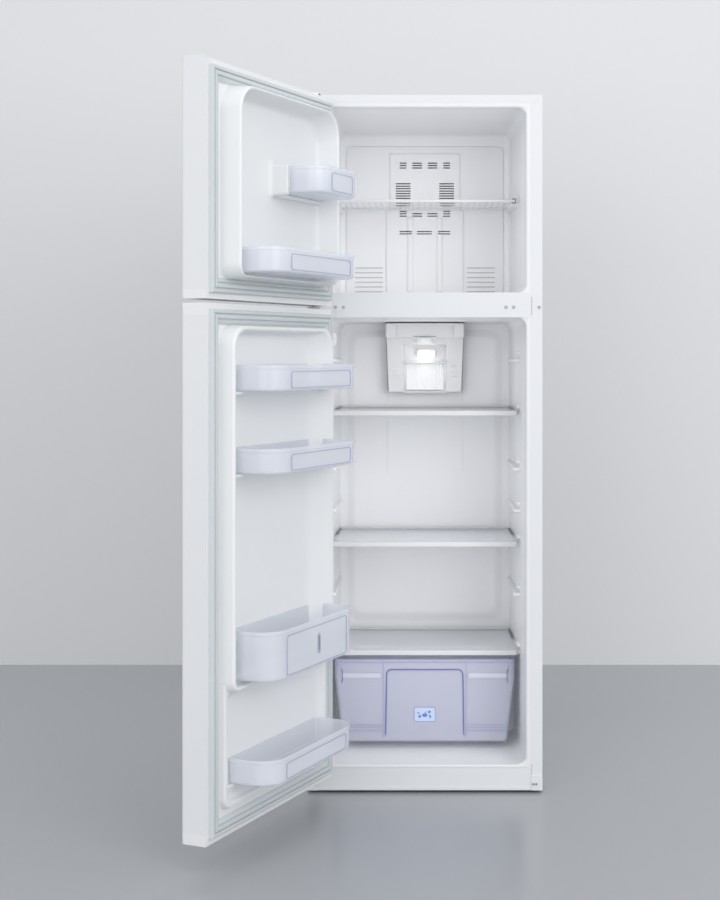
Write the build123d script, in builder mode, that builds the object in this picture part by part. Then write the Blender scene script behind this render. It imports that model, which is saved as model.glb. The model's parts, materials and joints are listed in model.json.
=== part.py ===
from build123d import *
import os

os.makedirs("parts", exist_ok=True)

# A two-door refrigerator with the freezer on top.
# X runs to the right seen from the front, Y to the back and Z up. The origin is on the floor,
# in the middle of the four feet. Depths such as shelf_front are measured back from the
# cabinet's front plane, so a place is written as front + depth.

# Cabinet
cabinet_width = 540.0
cabinet_height = 1600.0
cabinet_depth = 505.0
underside = 6.0
sheet = 1.0
liner_wall = 2.0
front = -cabinet_depth / 2
back = cabinet_depth / 2
half_width = cabinet_width / 2
inner_half = half_width - sheet
pan_height = 30.0

# Painted frame round the openings
flange_half = 242.0
flange_top = 1581.0
lip_height = 57.0
panel_half = 244.0
mullion_half = 245.0
mullion_low = 1090.0
mullion_high = 1147.0
cover_sheet = 1.0

# Compartments: (left, right, bottom, top, corner radius) at the front and at the back
hollow_depth = 430.0
freezer_mouth = (-232.5, 232.5, 1147.0, 1571.0, 12.0)
freezer_rear = (-212.0, 212.0, 1150.0, 1556.0, 12.0)
fridge_mouth = (-232.5, 232.5, 64.0, 1090.0, 17.0)
fridge_rear = (-218.0, 218.0, 68.0, 1086.0, 17.0)
step_front = 300.0
step_top = 275.0

# Machine compartment at the bottom rear
machine_front = 334.0
machine_top = 240.0

# Shelves
shelf_front = 130.0
shelf_back = 420.0
shelf_half_front = 219.5
shelf_half_back = 214.0
glass_thickness = 4.0
trim_height = 12.0
glass_shelf_tops = {"upper": 871.0, "middle": 559.0, "crisper_cover": 301.0}
spare_ledge_tops = (1000.0, 740.0, 640.0, 440.0)
ledge_height = 8.0
freezer_shelf_top = 1373.0
freezer_shelf_back = 347.0
shelf_plate = 5.0
gap = 0.3

# Doors, drawn closed and then swung open about the hinge pins
open_angle = 113.25
door_inner = -12.0
door_outer = -66.6
pivot_x = -250.7
pivot_y = -47.3
pin_radius = 4.0
pin_clearance = 0.08
skin_sheet = 0.8
freezer_door_low = 1114.0
freezer_door_high = 1583.0
fridge_door_low = 50.0
fridge_door_high = 1106.0
top_lip = 5.0
door_liner_half = 247.0
return_width = 22.0
gasket_face = -2.0
gasket_outer = 12.0
gasket_inner = 42.0

# Door bins
bin_half = 188.0
bin_wall = 2.0
bin_corner = 50.0
bin_back = -11.6

# Hinge plates and feet
hinge_plate = 4.0
foot_radius = 17.0
foot_height = 5.7
stud_radius = 4.0
foot_x = 240.0
foot_y = 215.0


def block(low, high, mode=Mode.ADD):
    """Add or cut the box between two opposite corners."""
    with Locations(tuple((a + b) / 2 for a, b in zip(low, high))):
        Box(*[b - a for a, b in zip(low, high)], mode=mode)


def upright(x, y, low, high, radius, mode=Mode.ADD):
    """Add or cut a vertical cylinder."""
    with Locations((x, y, (low + high) / 2)):
        Cylinder(radius, high - low, mode=mode)


def tapered(near, near_y, far, far_y, grow=0.0):
    """Loft between two rounded rectangles that face the front."""
    with BuildPart() as solid:
        for outline, y in ((near, near_y), (far, far_y)):
            left, right, low, high, radius = outline
            with BuildSketch(Plane.XZ.offset(-y)):
                with Locations(((left + right) / 2, (low + high) / 2)):
                    RectangleRounded(right - left + 2 * grow, high - low + 2 * grow, radius + grow)
        loft(ruled=True)
    return solid.part


def freezer_hollow(grow=0.0):
    """The space inside the freezer liner, or that space grown by a wall."""
    return tapered(freezer_mouth, front, freezer_rear, front + hollow_depth + grow, grow)


def fridge_hollow(grow=0.0):
    """The space inside the lower liner, which steps up over the machine compartment."""
    with BuildPart() as hollow:
        add(tapered(fridge_mouth, front, fridge_rear, front + hollow_depth + grow, grow))
        block(
            (-half_width, front + step_front + grow, 0),
            (half_width, back + 20, step_top - grow),
            mode=Mode.SUBTRACT,
        )
    return hollow.part


# ---------------------------------------------------------------- cabinet

with BuildPart() as outer_wrapper:
    block((-half_width, front, underside), (half_width, back, cabinet_height))
    fillet(outer_wrapper.edges().filter_by(Axis.Y).group_by(Axis.Z)[-1], 2.5)
    block(
        (-inner_half, front + sheet, underside),
        (inner_half, back, cabinet_height - sheet),
        mode=Mode.SUBTRACT,
    )
    block((-flange_half, front, underside), (flange_half, front + sheet, flange_top), mode=Mode.SUBTRACT)
outer_wrapper.part.label = "outer_wrapper"
export_step(outer_wrapper.part, "parts/outer_wrapper.step")

with BuildPart() as back_panel:
    block((-inner_half, back - sheet, machine_top + sheet), (inner_half, back, cabinet_height - sheet))
back_panel.part.label = "back_panel"
export_step(back_panel.part, "parts/back_panel.step")

with BuildPart() as step_panel:
    block((-inner_half, front + machine_front, pan_height), (inner_half, back, machine_top + sheet))
    block(
        (-half_width, front + machine_front + sheet, pan_height),
        (half_width, back, machine_top),
        mode=Mode.SUBTRACT,
    )
step_panel.part.label = "machine_compartment_panel"
export_step(step_panel.part, "parts/machine_compartment_panel.step")

with BuildPart() as base_frame:
    block((-inner_half, front + sheet, pan_height - 1.5), (inner_half, front + machine_front, pan_height))
    for side in (-1, 1):
        web = sorted((side * inner_half, side * (inner_half - 1.5)))
        foot_flange = sorted((side * inner_half, side * (inner_half - 48)))
        block((web[0], front + sheet, underside), (web[1], back, pan_height))
        block((foot_flange[0], front + sheet, underside), (foot_flange[1], back, underside + 2))
    block((-inner_half, front + 348, 14), (inner_half, back - 6, 16))
    block((-inner_half, front + sheet + 1, underside), (inner_half, front + sheet + 3, pan_height))
    for x in (-foot_x, foot_x):
        for y in (-foot_y, foot_y):
            upright(x, y, underside, underside + 10, 9)
            upright(x, y, 0, pan_height - 5, stud_radius + gap, mode=Mode.SUBTRACT)
base_frame.part.label = "base_frame"
export_step(base_frame.part, "parts/base_frame.step")

with BuildPart() as freezer_ledges:
    ledge_top = freezer_shelf_top - shelf_plate - gap
    for side in (-1, 1):
        across = sorted((side * 205, side * half_width))
        block((across[0], front + 150, ledge_top - ledge_height), (across[1], front + 345, ledge_top))
    add(freezer_hollow(1.0), mode=Mode.INTERSECT)

with BuildPart() as freezer_liner:
    add(freezer_hollow(liner_wall))
    block((-flange_half, front, mullion_high - 8), (flange_half, front + 1.5, flange_top))
    add(freezer_hollow(), mode=Mode.SUBTRACT)
    add(freezer_ledges.part)
freezer_liner.part.label = "freezer_liner"
export_step(freezer_liner.part, "parts/freezer_liner.step")

with BuildPart() as ledges:
    for top in list(glass_shelf_tops.values()) + list(spare_ledge_tops):
        ledge_top = top - glass_thickness - 1 - gap
        for side in (-1, 1):
            across = sorted((side * 212, side * half_width))
            block(
                (across[0], front + 150, ledge_top - ledge_height),
                (across[1], front + shelf_back + 5, ledge_top),
            )
            stub = sorted((side * 220.5, side * half_width))
            block((stub[0], front + 150, top + 4), (stub[1], front + 190, top + 12))
    add(fridge_hollow(1.0), mode=Mode.INTERSECT)

with BuildPart() as fridge_liner:
    add(fridge_hollow(liner_wall))
    block((-flange_half, front, lip_height), (flange_half, front + 1.5, mullion_low + 6))
    add(fridge_hollow(), mode=Mode.SUBTRACT)
    add(ledges.part)
fridge_liner.part.label = "fridge_liner"
export_step(fridge_liner.part, "parts/fridge_liner.step")

with BuildPart() as foam:
    block((-inner_half, front + 1.5, pan_height), (inner_half, back - sheet, cabinet_height - sheet))
    block((-half_width, front + machine_front, 0), (half_width, back, machine_top + sheet), mode=Mode.SUBTRACT)
    add(freezer_hollow(liner_wall), mode=Mode.SUBTRACT)
    add(fridge_hollow(liner_wall), mode=Mode.SUBTRACT)


def foam_slab(low, high):
    """The stretch of foam between two corners."""
    with BuildPart() as slab:
        add(foam.part)
        block(low, high, mode=Mode.INTERSECT)
    return slab.part


# The foam is one pour, kept as straight slabs so that each has a plain shape.
foam_rear = front + hollow_depth + liner_wall
foam_step = front + step_front + liner_wall
split = 212.0
machine_face = front + machine_front
machine_roof = machine_top + sheet
slabs = [
    foam_slab((-half_width, foam_rear, 0), (half_width, back, cabinet_height)),
    foam_slab((-split, front, 1500), (split, foam_rear, cabinet_height)),
    foam_slab((-split, front, 1050), (split, foam_rear, 1200)),
    foam_slab((-split, front, 0), (split, foam_step, 100)),
    foam_slab((-split, foam_step, 0), (split, machine_face, machine_roof)),
    foam_slab((-split, foam_step, machine_roof), (split, foam_rear, 300)),
]
for left, right in ((-half_width, -split), (split, half_width)):
    slabs.append(foam_slab((left, front, machine_roof), (right, foam_rear, cabinet_height)))
    slabs.append(foam_slab((left, front, 0), (right, machine_face, machine_roof)))
cabinet_insulation = Compound([solid for slab in slabs for solid in slab.solids()])
cabinet_insulation.label = "cabinet_insulation"
export_step(cabinet_insulation, "parts/cabinet_insulation.step")

with BuildPart() as mullion_cover:
    block((-mullion_half, front - cover_sheet, mullion_low), (mullion_half, front, mullion_high))
mullion_cover.part.label = "mullion_cover"
export_step(mullion_cover.part, "parts/mullion_cover.step")

with BuildPart() as lower_front_panel:
    block((-flange_half, front, underside), (flange_half, front + sheet, lip_height))
    block((-flange_half, front - 0.8, underside), (flange_half, front, underside + 8))
lower_front_panel.part.label = "lower_front_panel"
export_step(lower_front_panel.part, "parts/lower_front_panel.step")

# ---------------------------------------------------------------- hinge plates and screws

hinge_y = front + pivot_y
screw_z = 1113.0
top_arm_low = 1588.6

with BuildPart() as top_hinge:
    block((-266, front - 2, 1584), (-236, front, 1599.6))
    block((-264, hinge_y, top_arm_low), (-237, front - 1, top_arm_low + hinge_plate))
    upright(pivot_x, hinge_y, top_arm_low, top_arm_low + hinge_plate, 13)
    upright(pivot_x, hinge_y, freezer_door_high - 12, top_arm_low + 1, pin_radius)
top_hinge.part.label = "top_hinge_bracket"
export_step(top_hinge.part, "parts/top_hinge_bracket.step")

with BuildPart() as hinge_cover:
    block((-268, hinge_y - 16, top_arm_low - 0.2), (-233, front - 3.8, top_arm_low + 6))
    fillet(hinge_cover.edges().filter_by(Axis.Z).group_by(Axis.Y)[0], 12)
    fillet(hinge_cover.edges().group_by(Axis.Z)[-1], 1)
    block((-266.4, hinge_y - 14.4, 1580), (-234.6, front - 2, top_arm_low + 4.4), mode=Mode.SUBTRACT)
hinge_cover.part.label = "top_hinge_cover"
export_step(hinge_cover.part, "parts/top_hinge_cover.step")

with BuildPart() as centre_hinge:
    block((-262, front - cover_sheet - 1.5, 1103.5), (-182, front - cover_sheet, 1117))
    block((-264, hinge_y, 1108), (-237, front - cover_sheet, 1108 + hinge_plate))
    upright(pivot_x, hinge_y, 1108, 1108 + hinge_plate, 13)
    upright(pivot_x, hinge_y, fridge_door_high - 14, freezer_door_low + 13, pin_radius)
centre_hinge.part.label = "centre_hinge_bracket"
export_step(centre_hinge.part, "parts/centre_hinge_bracket.step")

with BuildPart() as bottom_hinge:
    block((-half_width, front - 2, underside), (-panel_half, front, 44))
    block((-266, hinge_y, 40), (-235, front, 40 + hinge_plate))
    upright(pivot_x, hinge_y, 40, 40 + hinge_plate, 15)
    upright(pivot_x, hinge_y, 40, fridge_door_low + 14, pin_radius)
bottom_hinge.part.label = "bottom_hinge_bracket"
export_step(bottom_hinge.part, "parts/bottom_hinge_bracket.step")

with BuildPart() as corner_plate:
    block((panel_half, front - 2, underside), (half_width, front, 40))
    fillet(corner_plate.edges().filter_by(Axis.Y), 2)
corner_plate.part.label = "corner_plate"
export_step(corner_plate.part, "parts/corner_plate.step")


def screw_head(radius):
    """A low round head with a cross recess, facing the way its place points."""
    Cylinder(radius, 1.6, align=(Align.CENTER, Align.CENTER, Align.MIN))
    for turn in (0, 90):
        Box(
            radius * 1.2,
            radius * 0.3,
            1.0,
            rotation=(0, 0, turn),
            align=(Align.CENTER, Align.CENTER, Align.MIN),
            mode=Mode.SUBTRACT,
        )


def facing_front(x, y, z):
    """A place on a front face, looking out of it."""
    return Plane((x, y, z), x_dir=(1, 0, 0), z_dir=(0, -1, 0))


centre_screws = [facing_front(x, front - cover_sheet - 1.5, screw_z) for x in (-186, -204)]
corner_screws = [facing_front(x, front - 2, 20.5) for x in (-256, -249, 249, 256)]
with BuildPart() as hinge_screws:
    with Locations(*centre_screws, facing_front(262.5, front, screw_z)):
        screw_head(3.6)
    with Locations(*[facing_front(x, front - 2, 1596.2) for x in (-259, -243)]):
        screw_head(3.0)
    with Locations(*corner_screws):
        screw_head(2.6)
hinge_screws.part.label = "hinge_screws"
export_step(hinge_screws.part, "parts/hinge_screws.step")

with BuildPart() as screw_plugs:
    with Locations(*[facing_front(x, front - cover_sheet, screw_z) for x in (186.5, 204)]):
        Cylinder(4, 1.2, align=(Align.CENTER, Align.CENTER, Align.MIN))
screw_plugs.part.label = "screw_plugs"
export_step(screw_plugs.part, "parts/screw_plugs.step")

# ---------------------------------------------------------------- freezer fittings

cover_face = front + 355.0
slit_height = 3.0
band_height = 4.0
band_slope = 50
cover_plane = Plane.XZ.offset(-cover_face)


def raised_band(left, right, low, high, height, base=0.0):
    """A moulded band standing forward of the evaporator cover, with sloping edges."""
    with BuildSketch(Plane.XZ.offset(-cover_face + base)) as outline:
        with Locations(((left + right) / 2, (low + high) / 2)):
            RectangleRounded(right - left, high - low, 6)
    extrude(outline.sketch, amount=height, taper=band_slope)


def slit_rows(columns, top, pitch, rows):
    """Rows of narrow air slits, each column given by its two ends."""
    for row in range(rows):
        for left, right in columns:
            with Locations(((left + right) / 2, top - row * pitch)):
                SlotOverall(right - left, slit_height)


with BuildPart() as evaporator_cover:
    block((-210, cover_face + 2, 1152), (210, cover_face + 4, 1553))
    with BuildSketch(cover_plane) as plate:
        with Locations((0, 1340)):
            Rectangle(396, 376)
        chamfer(plate.vertices().group_by(Axis.Y)[-1], 14)
    extrude(amount=-2)
    raised_band(-91, 91, 1360, 1514, band_height)
    raised_band(-100, 100, 1154, 1372, band_height)
    for left in (-46, 28):
        raised_band(left, left + 18, 1160, 1352, band_height, base=band_height)
    with BuildSketch(Plane.XZ.offset(-cover_face + 20)):
        slit_rows(((-64, -46), (-32, -7), (7, 32), (46, 64)), 1487.6, 6.1, 3)
        slit_rows(((-74, -36), (36, 74)), 1435.5, 6.15, 10)
        slit_rows(((-64, -46), (46, 64)), 1366.0, 6.2, 3)
        slit_rows(((-32, -7), (7, 32)), 1360.0, 6.2, 2)
        slit_rows(((-64, -33), (-20, 18), (33, 64)), 1315.0, 6.0, 2)
        slit_rows(((-177, -106), (106, 177)), 1223.0, 12.0, 6)
    extrude(amount=-40, mode=Mode.SUBTRACT)
evaporator_cover.part.label = "evaporator_cover"
export_step(evaporator_cover.part, "parts/evaporator_cover.step")

with BuildPart() as evaporator:
    block((-172, front + 366, 1176), (172, front + 416, 1366))
    with Locations((0, front + 384, 1271)):
        with GridLocations(14, 0, 24, 1):
            Box(10, 40, 200, mode=Mode.SUBTRACT)
evaporator.part.label = "evaporator"
export_step(evaporator.part, "parts/evaporator.step")

with BuildPart() as drain_trough:
    block((-178, front + 362, 1152.5), (178, front + 422, 1170))
    block((-176, front + 364, 1155), (176, front + 420, 1171), mode=Mode.SUBTRACT)
drain_trough.part.label = "drain_trough"
export_step(drain_trough.part, "parts/drain_trough.step")

fan_z = 1448.0
fan_y = front + 376.0
shaft_radius = 2.5

with BuildPart() as fan_motor:
    with Locations(facing_front(0, front + 418, fan_z)):
        Cylinder(24, 22, align=(Align.CENTER, Align.CENTER, Align.MIN))
        Cylinder(shaft_radius, 42, align=(Align.CENTER, Align.CENTER, Align.MIN))
    block((-70, front + 418, fan_z - 10), (70, front + 420, fan_z + 10))
    for x in (-66, 66):
        block((x - 4, front + 420, fan_z - 10), (x + 4, front + 429, fan_z + 10))
fan_motor.part.label = "fan_motor"
export_step(fan_motor.part, "parts/fan_motor.step")

with BuildPart() as fan_flat:
    Cylinder(12, 16)
    with PolarLocations(26, 5):
        Box(34, 1.6, 14, rotation=(40, 0, 0))
    Cylinder(shaft_radius + pin_clearance, 40, mode=Mode.SUBTRACT)

with BuildPart() as fan:
    with Locations(Location((0, fan_y + 9, fan_z), (90, 0, 0))):
        add(fan_flat.part)
fan.part.label = "evaporator_fan"
export_step(fan.part, "parts/evaporator_fan.step")


def shelf_outline(near, far, half_near, half_far):
    """A flat shelf shape that narrows to the back like the liner."""
    with BuildLine() as edge:
        Polyline((-half_near, near), (half_near, near), (half_far, far), (-half_far, far), close=True)
    make_face(edge.edges())


with BuildPart() as freezer_shelf:
    with BuildSketch(Plane.XY.offset(freezer_shelf_top - shelf_plate)):
        shelf_outline(front + shelf_front, front + freezer_shelf_back, 215, 209)
    extrude(amount=shelf_plate)
    block((-215, front + shelf_front, freezer_shelf_top - 9), (215, front + shelf_front + 3, freezer_shelf_top))
freezer_shelf.part.label = "freezer_shelf"
export_step(freezer_shelf.part, "parts/freezer_shelf.step")

# ---------------------------------------------------------------- lower compartment fittings

housing_front = front + 340.0
housing_back = front + 425.0

with BuildPart() as light_housing:
    with BuildSketch(Plane.XZ.offset(-housing_front)):
        with BuildLine():
            Polyline((-99, 1084), (99, 1084), (93.5, 910), (-93.5, 910), close=True)
        make_face()
    extrude(amount=housing_front - housing_back)
    with BuildSketch(Plane.YZ):
        with BuildLine():
            Polyline(
                (front + 330, 1048),
                (front + 392, 1048),
                (front + 392, 985),
                (front + 378, 983),
                (front + 398, 905),
                (front + 330, 905),
                close=True,
            )
        make_face()
    extrude(amount=120, both=True, mode=Mode.SUBTRACT)
    block((-56, front + 360, 985), (56, front + 415, 1031), mode=Mode.SUBTRACT)
    block((-48.3, front + 360, 914.7), (48.3, front + 415, 983.3), mode=Mode.SUBTRACT)
    with Locations(*[(side * x, front + 390, 961) for side in (-1, 1) for x in (69, 74, 79, 84)]):
        Box(2.4, 60, 33, mode=Mode.SUBTRACT)
    upright(0, front + 366, 1037, 1050, 3)
    with Locations(Location((32, front + 402, 1008), (0, 90, 0))):
        Cylinder(8, 12)
    block((38, front + 396, 1000), (57, front + 416, 1016))
light_housing.part.label = "light_housing"
export_step(light_housing.part, "parts/light_housing.step")

with BuildPart() as lamp_lens:
    with BuildSketch(Plane.YZ):
        with BuildLine():
            Polyline(
                (front + 376, 983),
                (front + 394, 915),
                (front + 398, 915),
                (front + 380, 983),
                close=True,
            )
        make_face()
    extrude(amount=48, both=True)
lamp_lens.part.label = "lamp_lens"
export_step(lamp_lens.part, "parts/lamp_lens.step")

with BuildPart() as lamp_bulb:
    with Locations(Location((2, front + 402, 1008), (0, 90, 0))):
        Cylinder(10, 48)
    fillet(lamp_bulb.edges().filter_by(GeomType.CIRCLE).group_by(Axis.X)[0], 9)
lamp_bulb.part.label = "lamp_bulb"
export_step(lamp_bulb.part, "parts/lamp_bulb.step")

with BuildPart() as knob:
    upright(0, front + 366, 1036, 1046.5, 22)
    fillet(knob.edges().group_by(Axis.Z)[0], 2)
    with Locations((0, front + 366, 1041)):
        with PolarLocations(22.6, 24):
            Cylinder(1.2, 12, mode=Mode.SUBTRACT)
    upright(0, front + 366, 1036.5, 1050, 3 + pin_clearance, mode=Mode.SUBTRACT)
knob.part.label = "thermostat_knob"
export_step(knob.part, "parts/thermostat_knob.step")

switch_x = -215.0
switch_z = 1040.0

with BuildPart() as door_switch:
    block((-229, front + 34, switch_z - 14), (-205, front + 72, switch_z + 14))
    with Locations(facing_front(switch_x, front + 60, switch_z)):
        Cylinder(4 + gap, 30, align=(Align.CENTER, Align.CENTER, Align.MIN), mode=Mode.SUBTRACT)
door_switch.part.label = "door_switch_body"
export_step(door_switch.part, "parts/door_switch_body.step")

with BuildPart() as plunger:
    with Locations(facing_front(switch_x, front + 50, switch_z)):
        Cylinder(4, 28, align=(Align.CENTER, Align.CENTER, Align.MIN))
    fillet(plunger.edges().group_by(Axis.Y)[0], 2)
plunger.part.label = "door_switch_plunger"
export_step(plunger.part, "parts/door_switch_plunger.step")

for name, top in glass_shelf_tops.items():
    with BuildPart() as glass:
        with BuildSketch(Plane.XY.offset(top - glass_thickness - 1)):
            shelf_outline(front + shelf_front + 11, front + shelf_back, 219, shelf_half_back)
        extrude(amount=glass_thickness)
    glass.part.label = f"{name}_shelf_glass"
    export_step(glass.part, f"parts/{name}_shelf_glass.step")

    with BuildPart() as trim:
        block(
            (-shelf_half_front, front + shelf_front, top - trim_height),
            (shelf_half_front, front + shelf_front + 11, top),
        )
        fillet(trim.edges().filter_by(Axis.X).group_by(Axis.Y)[0], 2.5)
        block((-shelf_half_back, front + shelf_back - 12, top - 1), (shelf_half_back, front + shelf_back, top + 4))
    trim.part.label = f"{name}_shelf_trim"
    export_step(trim.part, f"parts/{name}_shelf_trim.step")

drawer_front = front + 135.0
drawer_back = front + 292.0
drawer_low = 82.0
drawer_high = 280.0
drawer_wall = 2.2


def drawer_outline(shrink):
    """The drawer seen from the front: upright shoulders over sides that lean in."""
    with BuildSketch(Plane.XZ) as outline:
        with BuildLine():
            Polyline(
                (-214.5, drawer_high),
                (214.5, drawer_high),
                (214.5, 240),
                (200, 116),
                (196, drawer_low),
                (-196, drawer_low),
                (-200, 116),
                (-214.5, 240),
                close=True,
            )
        make_face()
        fillet(outline.vertices().group_by(Axis.Y)[0], 14)
        offset(amount=-shrink, mode=Mode.REPLACE)
    return outline.sketch


with BuildPart() as crisper_drawer:
    with BuildSketch(Plane.XZ.offset(-drawer_back)):
        add(drawer_outline(0.01))
    extrude(amount=drawer_back - drawer_front)
    with BuildSketch(Plane.XZ.offset(-drawer_back + drawer_wall)):
        add(drawer_outline(drawer_wall))
    extrude(amount=drawer_back - drawer_front - 2 * drawer_wall, mode=Mode.SUBTRACT)
    block(
        (-212.3, drawer_front + drawer_wall, 244),
        (212.3, drawer_back - drawer_wall, drawer_high + 1),
        mode=Mode.SUBTRACT,
    )
    with BuildSketch(Plane.XZ.offset(-drawer_front)):
        with Locations((0, 176)):
            RectangleRounded(185, 160, 13)
            RectangleRounded(178, 153, 10, mode=Mode.SUBTRACT)
    extrude(amount=1.2)
crisper_drawer.part.label = "crisper_drawer"
export_step(crisper_drawer.part, "parts/crisper_drawer.step")

# ---------------------------------------------------------------- cooling plant and feet

compressor_x = 60.0
compressor_y = front + 425.0
compressor_base = 26.0

with BuildPart() as compressor:
    upright(compressor_x, compressor_y, compressor_base + 4, 104, 60)
    fillet(compressor.edges().group_by(Axis.Z)[0], 18)
    upright(compressor_x, compressor_y, 104, 162, 60)
    fillet(compressor.edges().group_by(Axis.Z)[-1], 26)
    upright(compressor_x, compressor_y, 102, 106, 64)
    upright(compressor_x, compressor_y, compressor_base, compressor_base + 8, 40)
    block(
        (compressor_x - 68, compressor_y - 56, compressor_base),
        (compressor_x + 68, compressor_y + 56, compressor_base + 2.5),
    )
    with Locations((compressor_x, compressor_y, 21)):
        with GridLocations(116, 92, 2, 2):
            Cylinder(9, 9.9)
compressor.part.label = "compressor"
export_step(compressor.part, "parts/compressor.step")

with BuildPart() as evaporation_tray:
    block((compressor_x - 80, compressor_y - 60, 166), (compressor_x + 80, compressor_y + 60, 188))
    fillet(evaporation_tray.edges().filter_by(Axis.Z), 10)
    block((compressor_x - 78, compressor_y - 58, 168), (compressor_x + 78, compressor_y + 58, 189), mode=Mode.SUBTRACT)
evaporation_tray.part.label = "evaporation_tray"
export_step(evaporation_tray.part, "parts/evaporation_tray.step")

gland_radius = 4.2
gland_y = back - 15.0

with BuildPart() as terminal_box:
    block((-190, front + 430, 16), (-110, gland_y, 76))
    fillet(terminal_box.edges().filter_by(Axis.Z), 4)
    with Locations(facing_front(-150, back, 46)):
        Cylinder(8, 16, align=(Align.CENTER, Align.CENTER, Align.MIN))
        Cylinder(gland_radius, 15, align=(Align.CENTER, Align.CENTER, Align.MIN), mode=Mode.SUBTRACT)
terminal_box.part.label = "terminal_box"
export_step(terminal_box.part, "parts/terminal_box.step")

tube_radius = 2.5
wire_radius = 0.8
tube_y = back + 20.0
tube_half = 205.0
tube_pitch = 100.0
tube_low = 330.0
tube_runs = 13
wire_pitch = 20.0
wire_offset = tube_radius + wire_radius + 0.05
tube_high = tube_low + (tube_runs - 1) * tube_pitch
rear_reach = back + 28.0

with BuildPart() as condenser:
    with BuildLine(Plane.XZ.offset(-tube_y)) as run:
        for index in range(tube_runs):
            side = 1 if index % 2 == 0 else -1
            z = tube_low + index * tube_pitch
            Line((-side * tube_half, z), (side * tube_half, z))
            if index < tube_runs - 1:
                ThreePointArc(
                    (side * tube_half, z),
                    (side * (tube_half + tube_pitch / 2), z + tube_pitch / 2),
                    (side * tube_half, z + tube_pitch),
                )
    with BuildSketch(Plane((-tube_half, tube_y, tube_low), z_dir=(1, 0, 0))):
        Circle(tube_radius)
    sweep()
    for reach in (-wire_offset, wire_offset):
        for index in range(21):
            x = (index - 10) * wire_pitch
            upright(x, tube_y + reach, tube_low - 30, tube_high + 30, wire_radius)
    for x in (-110, 110):
        for z in (tube_low + tube_pitch / 2, tube_high - tube_pitch / 2):
            block((x - 6, back, z - 8), (x + 6, rear_reach, z + 8))
condenser.part.label = "condenser"
export_step(condenser.part, "parts/condenser.step")


def levelling_foot(x, y):
    """A round pad on a threaded stud."""
    upright(x, y, 0, foot_height, foot_radius)
    upright(x, y, foot_height, pan_height - 6, stud_radius)


for name, x in (("left", -foot_x), ("right", foot_x)):
    with BuildPart() as foot:
        levelling_foot(x, -foot_y)
    foot.part.label = f"front_foot_{name}"
    export_step(foot.part, f"parts/front_foot_{name}.step")

with BuildPart() as rear_feet:
    for x in (-foot_x, foot_x):
        levelling_foot(x, foot_y)
rear_feet.part.label = "rear_feet"
export_step(rear_feet.part, "parts/rear_feet.step")

# ---------------------------------------------------------------- doors

pivot = Location((pivot_x, hinge_y, 0))
door_swing = pivot * Location((0, 0, 0), (0, 0, -open_angle)) * pivot.inverse()


def hang(closed, name):
    """Swing a door piece out of its closed place, name it and write it."""
    with BuildPart() as hung:
        with Locations(door_swing):
            add(closed)
    hung.part.label = name
    export_step(hung.part, f"parts/{name}.step")


def door_skin(low, high, lip):
    """Folded sheet: outer face, two edges and a narrow return; the top edge can stand up as a lip."""
    y_out = front + door_outer
    y_in = front + door_inner
    with BuildPart() as skin:
        with BuildSketch(Plane.XY.offset(low)) as section:
            with Locations((0, (y_out + y_in) / 2)):
                Rectangle(2 * half_width, y_in - y_out)
            fillet(section.vertices().group_by(Axis.Y)[0], 5)
            offset(amount=-skin_sheet, mode=Mode.SUBTRACT)
        extrude(amount=high + lip - low)
        block(
            (-half_width + return_width, y_in - skin_sheet, low),
            (half_width - return_width, y_in, high + lip),
            mode=Mode.SUBTRACT,
        )
        if lip:
            block((-half_width, y_in - skin_sheet, high), (half_width, y_in, high + lip), mode=Mode.SUBTRACT)
    return skin.part


def end_cap(low, high, inset, pin_low, pin_high, grip_low, grip_high):
    """A moulded cap closing one end of a door, bored for the hinge pin, with a grip pocket."""
    with BuildPart() as cap:
        block(
            (-half_width + inset, front + door_outer + inset, low),
            (half_width - inset, front + door_inner - inset, high),
        )
        fillet(cap.edges().filter_by(Axis.Z).group_by(Axis.Y)[0], 5 - inset)
        upright(pivot_x, hinge_y, pin_low, pin_high, pin_radius + pin_clearance, mode=Mode.SUBTRACT)
        if grip_high > grip_low:
            block((90, front + door_outer + 14, grip_low), (250, front - 30, grip_high), mode=Mode.SUBTRACT)
    return cap.part


def door_foam(low, high):
    """The foam core between the end caps."""
    with BuildPart() as core:
        block(
            (-half_width + skin_sheet, front + door_outer + skin_sheet, low),
            (half_width - skin_sheet, front + door_inner - 2, high),
        )
        fillet(core.edges().filter_by(Axis.Z).group_by(Axis.Y)[0], 5)
    return core.part


def door_gasket(low, high, bottom_band, top_band):
    """The magnetic seal, a flat ring with two grooves."""
    outer = half_width - gasket_outer
    inner = half_width - gasket_inner
    with BuildPart() as seal:
        block((-outer, front + door_inner, low + gasket_outer), (outer, front + gasket_face, high - gasket_outer))
        block((-inner, front - 20, low + bottom_band), (inner, front, high - top_band), mode=Mode.SUBTRACT)
        for inset in (8, 16):
            edge = gasket_outer + inset
            with BuildSketch(Plane.XZ.offset(-front - gasket_face)):
                with Locations((0, (low + high) / 2)):
                    Rectangle(2 * (half_width - edge), high - low - 2 * edge)
                    Rectangle(2 * (half_width - edge - 2), high - low - 2 * edge - 4, mode=Mode.SUBTRACT)
            extrude(amount=-3, mode=Mode.SUBTRACT)
    return seal.part


def shelf_ledge(low, reach, inner, outer):
    """Two small ledges that a bin sits on, one at each side."""
    for side in (-1, 1):
        ends = sorted((side * inner, side * outer))
        block((ends[0], front + door_inner, low - 7), (ends[1], front + reach, low - gap))


liner_floor = front + door_inner
freezer_dike_top = front + 36.0
fridge_dike_top = front + 21.0
low_dike_top = front + 1.0

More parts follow.
